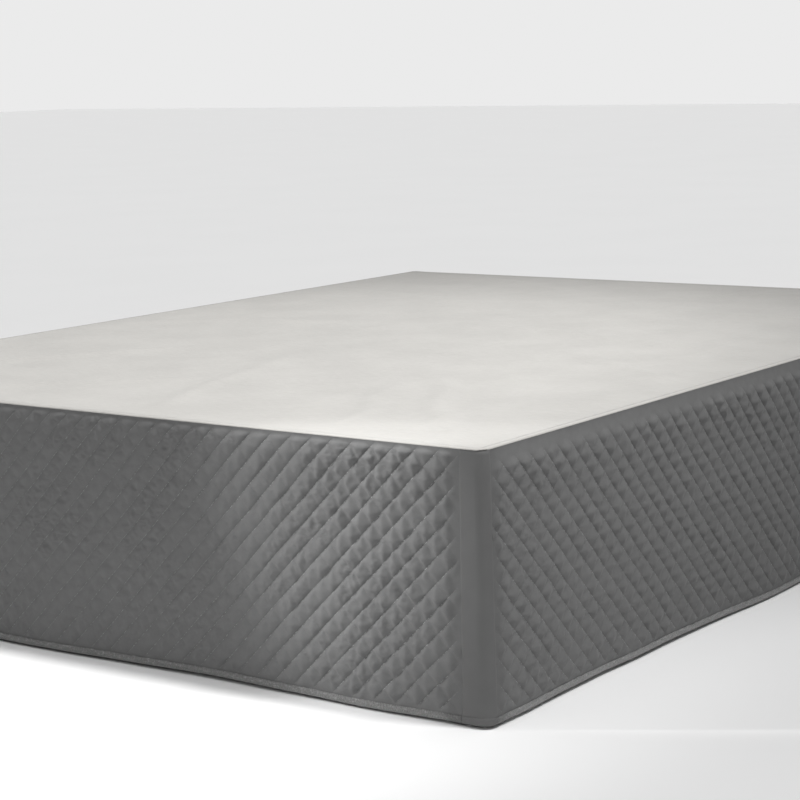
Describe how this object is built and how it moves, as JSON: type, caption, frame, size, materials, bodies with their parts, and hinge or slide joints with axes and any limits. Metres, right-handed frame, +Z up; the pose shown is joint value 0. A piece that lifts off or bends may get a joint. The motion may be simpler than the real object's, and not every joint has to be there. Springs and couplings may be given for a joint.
{
  "type": "bed skirt on a bed base",
  "caption": "Diamond-quilted bed skirt, open at the head, with plain rounded foot corners, hanging nearly to the floor from a plain bed base on feet.",
  "frame": {"origin": "middle of the whole part's plan, on the floor", "axes": "+Z up, +Y towards the head of the bed, -Y towards its foot, +X to the right as seen from the foot"},
  "size_m": [1.5678, 2.048, 0.4],
  "materials": {
    "quilted_cloth": "fine brushed microfibre with a soft sheen, quilted in diamonds",
    "plain_cloth": "the same microfibre, not quilted",
    "binding_tape": "slightly fuzzy folded tape with overlock stitching",
    "deck_cloth": "plain off-white woven cloth, matt",
    "base_cloth": "coarse oatmeal upholstery cloth",
    "foot_wood": "dark stain with satin lacquer"
  },
  "bodies": {
    "root": {"deck_sheet": "deck_cloth", "quilted_panel_foot": "quilted_cloth", "quilted_panel_left": "quilted_cloth", "quilted_panel_right": "quilted_cloth", "corner_strip_left": "plain_cloth", "corner_strip_right": "plain_cloth", "hem_binding_foot": "binding_tape", "hem_binding_left": "binding_tape", "hem_binding_right": "binding_tape", "hem_binding_corner_left": "plain_cloth", "hem_binding_corner_right": "plain_cloth", "bed_base": "base_cloth", "base_foot_left_1": "foot_wood", "base_foot_left_2": "foot_wood", "base_foot_left_3": "foot_wood", "base_foot_right_1": "foot_wood", "base_foot_right_2": "foot_wood", "base_foot_right_3": "foot_wood"}
  },
  "joints": []
}
